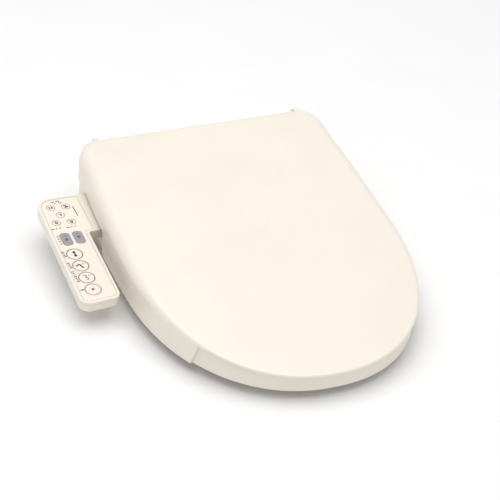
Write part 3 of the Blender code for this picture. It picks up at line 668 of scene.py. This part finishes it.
# %% The panel's own frame
PANEL_Y, PANEL_Z, TILT = -214.0, 44.0, math.radians(5.0)
ARM_FRONT, ARM_REAR, ARM_END, DEPTH, COVER_DEPTH = 132.0, 213.5, -183.4, 17.0, 4.7


def on_panel(shape):
    """Turn the panel's frame by the tilt about X and move it to the panel's front edge."""
    spots, faces = shape
    x, y, z = np.asarray(spots, float).T
    tilted = np.stack([x, PANEL_Y + y * math.cos(TILT) - z * math.sin(TILT),
                       PANEL_Z + y * math.sin(TILT) + z * math.cos(TILT)], axis=1)
    return tilted, faces


def panel_outline(shrink=0.0):
    """The panel and its arm: broad at the rear left corner, tighter elsewhere."""
    outline = corners((-270.6, -9, 14), (-213.6, -5, 12), (-211.4, ARM_FRONT, 4),
                      (ARM_END, ARM_FRONT, 0), (ARM_END, ARM_REAR, 0), (-263.2, ARM_REAR, 22))
    return outline + inwards(outline) * shrink


def sheet_outline(shrink):
    """The face sheet follows the panel and its arm, four millimetres in."""
    outline = corners((-266.5, -5, 10), (-217.5, -1, 8), (-215.4, ARM_FRONT + 4, 6),
                      (-203, ARM_FRONT + 4, 2), (-203, ARM_REAR - 4, 2), (-259.3, ARM_REAR - 4, 18))
    return outline + inwards(outline) * shrink


KEY_X, LARGE, SMALL = -246.5, 11.4, 6.0
ROUND_KEYS = {"button_massage": (KEY_X, 91.3, LARGE), "button_rear_wash": (KEY_X, 66.6, LARGE),
              "button_front_wash": (KEY_X, 41.9, LARGE), "button_stop": (KEY_X, 17.2, LARGE),
              "button_power": (KEY_X, 192.0, SMALL), "button_water_heat": (-225.0, 190.5, SMALL),
              "button_energy_save": (-238.0, 174.5, SMALL),
              "button_seat_heat": (-249.0, 159.5, SMALL),
              "button_deodorise": (-228.0, 157.5, SMALL)}
PILL_KEYS = {"button_pressure_less": -247.0, "button_pressure_more": -229.0}
PILL_Y, PILL_WIDTH, PILL_LENGTH, CLEARANCE, PROUD = 123.5, 13.5, 26.0, 0.4, 0.4
LAMPS = (-257.0, 123.5, 3.0, 20.0)
PILL_CORNER, LAMP_CORNER = 5.2, 1.2


def rounded(x, y, width, length, radius, grow):
    """A rectangle with round corners, grown outwards on every side."""
    half_x, half_y, radius = width / 2 + grow, length / 2 + grow, radius + grow
    return corners((x - half_x, y - half_y, radius), (x + half_x, y - half_y, radius),
                   (x + half_x, y + half_y, radius), (x - half_x, y + half_y, radius))


def pill(x, grow=0.0):
    """The outline of a pressure key."""
    return rounded(x, PILL_Y, PILL_WIDTH, PILL_LENGTH, PILL_CORNER, grow)


def lamp_slot(grow):
    """The outline of the lamp bar."""
    return rounded(*LAMPS, LAMP_CORNER, grow)


def key_holes():
    """One cutter for each key and one for the lamps, as tall as the panel."""
    circles = [turned([(r + CLEARANCE, -30), (r + CLEARANCE, 30)], 64, (x, y))
               for x, y, r in ROUND_KEYS.values()]
    pills = [prism(pill(x, CLEARANCE), -30, 30) for x in PILL_KEYS.values()]
    return [tool(on_panel(shape)) for shape in (*circles, *pills, prism(lamp_slot(0.3), -30, 30))]


print("panel", np.round(np.ptp(panel_outline(), axis=0), 1), "mm")

# %% Tray, cover and face sheet


def tray_shape():
    """An open box with round lower edges: outside up, over the rim, inside down."""
    floor_z, rim, wall = -DEPTH, -COVER_DEPTH - 0.3, 2.5
    turns = np.linspace(math.pi / 2, 0, 7)
    rows = [(3.5 * (1 - math.cos(t)), floor_z + 3.5 * (1 - math.sin(t))) for t in turns]
    rows += [(0.0, rim - 0.4), (0.4, rim), (wall - 0.3, rim), (wall, rim - 0.3)]
    rows += [(wall, floor_z + wall)]
    return grid([np.column_stack([panel_outline(inset), np.full(len(panel_outline()), z)])
                 for inset, z in rows], caps=(None, None))


tray = piece("panel_tray", on_panel(tray_shape()), "unit", "ivory_plastic",
             replaces=["panel_lower_case"])
cover = piece("panel_cover", on_panel(plate(panel_outline(), -COVER_DEPTH, 0.0, top=1.3, base=0.4)),
              "unit", "ivory_plastic", replaces=["panel_top_cover"])
carve(cover, tool(on_panel(prism(sheet_outline(0.0), -1.1, 5.0))), *key_holes())
sheet = piece("panel_sheet", on_panel(plate(sheet_outline(0.75), -0.8, -0.05, top=0.3, steps=3)),
              "unit", "face_sheet", replaces=["panel_face_sheet"])
carve(sheet, *key_holes())
piece("lamp_bar", on_panel(plate(lamp_slot(0.0), -4.0, -0.1, top=0.4, steps=3)), "unit",
      FINISHES["face_sheet"], slot="white_plastic", replaces=["indicator_lamps"])
print("panel", [len(part.data.polygons) for part in (tray, cover, sheet)], "faces")

# %% [markdown]
# ## Keys
# The large keys are shallow domes with a rolled edge, the small ones the same at half the size,
# and the two pressure keys are soft pads. Each travels on its own, so each is its own piece.

# %% Keys
BASE, DOME, EDGE, INK_LIFT = -5.2, 0.25, 0.5, 0.04


def round_key(radius):
    """Radius against height: up the side, round the edge by a quarter circle, then a dome that
    falls as the square of the radius."""
    turns = np.linspace(0, math.pi / 2, 6)
    profile = [(radius, BASE)]
    profile += [(radius - EDGE * (1 - math.cos(t)), PROUD - DOME - EDGE * (1 - math.sin(t)))
                for t in turns]
    inner = radius - EDGE
    profile += [(inner * share, PROUD - DOME * share ** 2) for share in np.linspace(0.9, 0.1, 7)]
    return profile


def ink_height(name):
    """The height of ink on a domed key, as a function of the point."""
    centre_x, centre_y, radius = ROUND_KEYS[name]

    def height(x, y):
        away = np.hypot(x - centre_x, y - centre_y) / (radius - EDGE)
        return PROUD - DOME * np.minimum(away, 1.0) ** 2 + INK_LIFT

    return height


for name, (x, y, radius) in ROUND_KEYS.items():
    piece(name.replace("button", "key"), on_panel(turned(round_key(radius), 64, (x, y))),
          BODY_OF[name], "key_plastic", replaces=[name])


def pad_shape(x):
    """A soft pad: the outline moved in step by step while the top rises as a low dome."""
    outline = pill(x)
    step = inwards(outline)
    rows = [(0.0, BASE), (0.0, PROUD - 1.0)]
    rows += [(0.8 * (1 - math.cos(t)), PROUD - 1.0 + 0.75 * math.sin(t))
             for t in np.linspace(0, math.pi / 2, 6)[1:]]
    rows += [(1.8, PROUD - 0.18), (3.0, PROUD - 0.10), (4.4, PROUD - 0.04)]
    return grid([np.column_stack([outline + step * inset, np.full(len(outline), z)])
                 for inset, z in rows], caps=(None, None))


for name, x in PILL_KEYS.items():
    piece(name.replace("button", "pad"), on_panel(pad_shape(x)), BODY_OF[name], "soft_key",
          replaces=[name])
print(len(ROUND_KEYS), "round keys,", len(PILL_KEYS), "pads")

# %% [markdown]
# ## Printed marks
# The marks are ink: rings round the keys, a simple sign on each, small dashes where a maker
# would print words, and a row of lamps. A bump or a texture would blur at this size, so every mark
# is a ribbon a tenth of a millimetre thick that lies on its key and travels with it.

# %% Ribbons of ink
THICK = 0.10


def stroke(path, width, height, closed=False):
    """A flat ribbon along a path (n, 2). Its edges are the path moved half a width to each side,
    and height gives the z of its upper face at a point."""
    path = np.asarray(path, float)
    if closed:
        along = np.roll(path, -1, axis=0) - np.roll(path, 1, axis=0)
    else:
        along = np.gradient(path, axis=0)
    along /= np.maximum(np.hypot(*along.T)[:, None], 1e-9)
    across = np.stack([along[:, 1], -along[:, 0]], axis=1) * width / 2
    sides = [path + across, path - across, path - across, path + across]
    lifts = (0.0, 0.0, -THICK, -THICK)
    rows = [np.column_stack([side, height(side[:, 0], side[:, 1]) + lift])
            for side, lift in zip(sides, lifts)]
    section = np.stack(rows, axis=1)
    return grid(section, wrap_rows=closed, caps=() if closed else (None, None))


def circle(x, y, radius, start=0.0, end=360.0, count=96):
    """Points round an arc, in degrees from +X."""
    whole = abs(end - start) >= 360
    angle = np.radians(np.linspace(start, end, count, endpoint=not whole))
    return np.stack([x + radius * np.cos(angle), y + radius * np.sin(angle)], axis=1)


def disc(x, y, radius, height, count=28):
    """A filled dot."""
    rows = []
    for share, lift in ((1.0, -THICK), (1.0, 0.0), (0.5, 0.0)):
        spot = circle(x, y, radius * share, count=count)
        rows.append(np.column_stack([spot, height(spot[:, 0], spot[:, 1]) + lift]))
    return grid(rows, caps=(None, None))


def curve(*points, count=24):
    """A smooth path through a few points, as a Catmull-Rom spline."""
    p = np.array(points, float)
    p = np.vstack([2 * p[0] - p[1], p, 2 * p[-1] - p[-2]])
    t = np.linspace(0, len(p) - 3 - 1e-6, count)
    i, f = t.astype(int), (t % 1)[:, None]
    a, b, c, d = p[i], p[i + 1], p[i + 2], p[i + 3]
    return 0.5 * (2 * b + (c - a) * f + (2 * a - 5 * b + 4 * c - d) * f ** 2
                  + (3 * b - a - 3 * c + d) * f ** 3)


def marks(name, body, ink, shapes):
    """Several ribbons as one piece."""
    return piece(name, on_panel(joined(*shapes)), body, ink, slot="key_plastic")


def face(x, y):
    """Height of ink on the face sheet."""
    return np.full(np.shape(x), INK_LIFT)


# %% Rings and signs of the large keys


def massage_sign(x, y, top):
    """Two drops joined at a waist."""
    return [disc(x + 0.2, y + 3.6, 2.2, top), disc(x + 0.4, y - 3.4, 2.2, top),
            stroke(curve((x + 0.2, y + 3.4), (x + 0.4, y), (x + 0.4, y - 3.2)), 1.8, top)]


def spray(x, y, top, spread):
    """Dots of water along three short lines."""
    return [disc(x + 1.9 * k * math.cos(a), y + 1.9 * k * math.sin(a), 0.42, top, 12)
            for a in np.radians([spread - 24, spread, spread + 24]) for k in (1, 2, 3)]


def rear_sign(x, y, top):
    """A seated hip and thigh, with spray behind."""
    hip = curve((x - 6.6, y + 0.4), (x - 3.8, y + 1.5), (x - 1.0, y + 2.6), (x + 0.4, y + 0.2),
                (x + 0.8, y - 2.0), (x + 3.4, y - 5.0))
    return [stroke(hip, 2.1, top), *spray(x + 1.8, y + 1.4, top, 32)]


def front_sign(x, y, top):
    """Two bends in a thin line, with spray in front."""
    bend = curve((x - 4.4, y + 4.2), (x - 1.4, y + 4.4), (x + 0.6, y + 2.0), (x - 1.6, y + 0.2),
                 (x + 1.6, y - 1.6), (x + 0.8, y - 4.4), (x - 2.0, y - 5.0))
    return [stroke(bend, 1.0, top), *spray(x + 1.6, y + 1.6, top, 30)]


def stop_sign(x, y, top):
    """A small square."""
    return [stroke([(x - 1.9, y), (x, y), (x + 1.9, y)], 3.8, top)]


SIGNS = {"button_massage": (massage_sign, INK, INK), "button_rear_wash": (rear_sign, INK, INK),
         "button_front_wash": (front_sign, INK, INK), "button_stop": (stop_sign, RED_INK, RED_INK)}
for name, (draw, sign_ink, ring_ink) in SIGNS.items():
    x, y, radius = ROUND_KEYS[name]
    top = ink_height(name)
    marks(name.replace("button", "sign"), BODY_OF[name], sign_ink, draw(x, y, top))
    marks(name.replace("button", "ring"), BODY_OF[name], ring_ink,
          [stroke(circle(x, y, radius - 0.85), 0.75, top, closed=True)])
print(len(SIGNS), "large signs")

# %% Small keys and pads


def small_sign(kind, x, y, top):
    """Simple shapes that tell the small keys apart: blocks, a swirl, waves, dots."""
    if kind == "power":
        return [stroke([(x - 3.0, y + dy), (x - 1.6, y + dy), (x - 0.2, y + dy)], 1.5, top)
                for dy in (-1.3, 1.3)] + [stroke([(x + 0.9, y), (x + 1.9, y), (x + 3.0, y)], 4.2, top)]
    if kind == "water_heat":
        return [disc(x + 1.3, y - 1.0, 1.8, top), disc(x - 1.8, y + 1.6, 1.4, top),
                stroke(curve((x - 2.8, y - 1.8), (x - 0.6, y - 2.6), (x + 0.4, y + 2.8)), 1.2, top)]
    if kind == "energy_save":
        return [stroke(curve((x - 2.4, y + 1.6), (x - 0.4, y + 2.2), (x + 1.4, y + 0.6),
                             (x - 0.2, y - 0.8), (x + 1.8, y - 2.2)), 1.2, top)]
    if kind == "seat_heat":
        return [stroke(curve((x - 2.4, y + dy), (x - 0.8, y + dy + 0.7), (x + 0.8, y + dy - 0.7),
                             (x + 2.4, y + dy)), 1.1, top) for dy in (-1.8, 0.2, 2.2)]
    return [disc(x + dx, y + dy, 1.15, top, 16)
            for dx, dy in ((-1.3, 1.6), (1.4, 1.8), (-1.5, -1.0), (1.2, -0.8), (0.0, -2.8))]


for name, (x, y, radius) in ROUND_KEYS.items():
    if name in SIGNS:
        continue
    top = ink_height(name)
    marks(name.replace("button", "sign"), BODY_OF[name], INK,
          small_sign(name.replace("button_", ""), x, y, top))
    marks(name.replace("button", "ring"), BODY_OF[name], PALE_INK,
          [stroke(circle(x, y, radius - 0.75, count=64), 0.42, top, closed=True)])


def pad_top(x, y):
    """Height of ink on a pad."""
    return np.full(np.shape(x), PROUD + 0.02)


for name, x in PILL_KEYS.items():
    turn = 1 if name.endswith("more") else -1
    arrow = [(x, PILL_Y + turn * 2.4), (x, PILL_Y), (x, PILL_Y - turn * 2.4)]
    wing = [(x - 2.6, PILL_Y + turn * 0.2), (x, PILL_Y + turn * 3.4), (x + 2.6, PILL_Y + turn * 0.2)]
    bar = [(x - 1.8, PILL_Y + 7.4), (x, PILL_Y + 7.4), (x + 1.8, PILL_Y + 7.4)]
    marks(name.replace("button", "sign"), BODY_OF[name], BLUE_INK,
          [stroke(arrow, 1.6, pad_top), stroke(wing, 1.2, pad_top), stroke(bar, 0.8, pad_top)])
print("small signs done")

# %% Marks on the face sheet


def dashes(x, y, count, step, width=1.4, length=2.6, lean=0.4):
    """A row of short dashes, where words would be printed: long and short ones by turns."""
    reach = [length * (0.5 if k % 3 else 0.8) for k in range(count)]
    return [stroke([(x + step[0] * k - half, y + step[1] * k - lean), (x + step[0] * k, y + step[1] * k),
                    (x + step[0] * k + half, y + step[1] * k + lean)], width, face)
            for k, half in enumerate(reach)]


label_rows = [(-261.0, 99.0, 4, (0.3, -3.2)), (-261.0, 75.5, 4, (0.3, -3.2)),
              (-261.2, 57.5, 7, (0.2, -3.4)), (-261.4, 20.0, 2, (2.0, -0.2)),
              (-258.4, 147.6, 3, (5.4, 0.3)), (-236.4, 146.6, 3, (5.2, 0.4)),
              (-240.0, 203.6, 2, (3.0, -2.6)), (-232.6, 204.4, 3, (1.6, -2.4))]
ink_rows = [mark for x, y, count, step in label_rows for mark in dashes(x, y, count, step)]
marks("label_marks", "unit", INK, ink_rows)
model_line = curve((-215.5, 189.0), (-215.2, 178.0), (-215.0, 167.5))
marks("model_line", "unit", PALE_INK, [stroke(model_line, 1.3, face)])


def lamp_height(x, y):
    """Height of the dots on the lamp bar."""
    return np.full(np.shape(x), -0.02)


marks("lamp_dots", "unit", INK, [disc(LAMPS[0], LAMPS[1] + dy, 0.95, lamp_height, 20)
                                 for dy in (-7.5, -2.5, 2.5, 7.5)])
print(len(ink_rows), "dashes")

# %% [markdown]
# ## Washing unit, hinges and small parts
# The housing, the base plate and the fittings keep the solids' own forms, because nozzle, bolts and
# hinges must fit them. Each is a merged copy whose edges are rounded by a Bevel, as a moulding's
# edges are. The upper cover and the ring's buffers get the widest radius.

# %% Rounded copies of the solids
BEVEL_SEGMENTS, BEVEL_ANGLE, MERGE_DISTANCE, FLAT_ANGLE = 3, 35.0, 2e-6, 1.0


def softened(name, node, width):
    """A copy of a solid with its doubled points merged, its flat faces dissolved and its edges
    rounded by width millimetres."""
    copy = nodes[node].copy()
    copy.data = nodes[node].data.copy()
    copy.name = name
    for bond in list(copy.constraints):
        copy.constraints.remove(bond)
    bm = bmesh.new()
    bm.from_mesh(copy.data)
    bmesh.ops.transform(bm, matrix=nodes[node].matrix_world, verts=bm.verts)
    bmesh.ops.remove_doubles(bm, verts=bm.verts, dist=MERGE_DISTANCE)
    bmesh.ops.dissolve_limit(bm, angle_limit=math.radians(FLAT_ANGLE), verts=bm.verts,
                             edges=bm.edges)
    bm.to_mesh(copy.data)
    bm.free()
    copy.parent = None
    copy.matrix_world = Matrix.Identity(4)
    bpy.context.scene.collection.objects.link(copy)
    edge = copy.modifiers.new("edges", "BEVEL")
    edge.width, edge.segments = width * MM, BEVEL_SEGMENTS
    edge.limit_method, edge.angle_limit = "ANGLE", math.radians(BEVEL_ANGLE)
    edge.use_clamp_overlap = True
    depsgraph = bpy.context.evaluated_depsgraph_get()
    mesh = bpy.data.meshes.new_from_object(copy.evaluated_get(depsgraph))
    copy.modifiers.clear()
    copy.data = mesh
    shade(mesh)
    return dress(copy, BODY_OF[node], SLOT_OF[node], replaces=[node])


SOFT_EDGES = {"upper_cover": 1.2, "lower_case": 1.0, "base_plate": 0.8, "release_button": 0.8,
              "lid_hinge_lug_left": 1.0, "lid_hinge_lug_right": 1.0, "seat_hinge_lug_left": 1.0,
              "seat_hinge_lug_right": 1.0, "filter_cartridge": 0.6, "inlet_fitting": 0.6,
              "drain_plug": 0.8, "cord_gland": 0.8, "nozzle_tip": 1.0, "nozzle_wand": 0.4,
              "nozzle_guide": 0.5, "lid_buffer_left": 1.0, "lid_buffer_right": 1.0,
              "seat_buffer_rear_left": 1.2, "seat_buffer_rear_right": 1.2,
              "seat_buffer_front_left": 1.2, "seat_buffer_front_right": 1.2,
              "lid_hinge_pin_left": 0.5, "lid_hinge_pin_right": 0.5,
              "seat_hinge_pin_left": 0.5, "seat_hinge_pin_right": 0.5}
for node, width in SOFT_EDGES.items():
    rounded_copy = softened(node + "_soft", node, width)
    print(node, len(rounded_copy.data.polygons), "faces")

# %% [markdown]
# ## Floor
# A wide pale floor carries the soft shadow.

# %% Floor
FLOOR_RADIUS, FLOOR_HEIGHT, FLOOR_CORNERS = 6.0, -0.0008, 96


def stage_floor():
    """A disc that is larger than anything the lights show."""
    floor_mesh = bpy.data.meshes.new("floor")
    angle = np.linspace(0, 2 * math.pi, FLOOR_CORNERS, endpoint=False)
    rim = np.column_stack([FLOOR_RADIUS * np.cos(angle), FLOOR_RADIUS * np.sin(angle),
                           np.full(FLOOR_CORNERS, FLOOR_HEIGHT)])
    floor_mesh.from_pydata(rim.tolist(), [], [list(range(FLOOR_CORNERS))])
    floor = bpy.data.objects.new("floor", floor_mesh)
    bpy.context.scene.collection.objects.link(floor)
    floor_mesh.materials.append(finish("floor", (0.87, 0.87, 0.87), (0.88, 0.88, 0.88), 0.8,
                                       bump=0.0))


stage_floor()
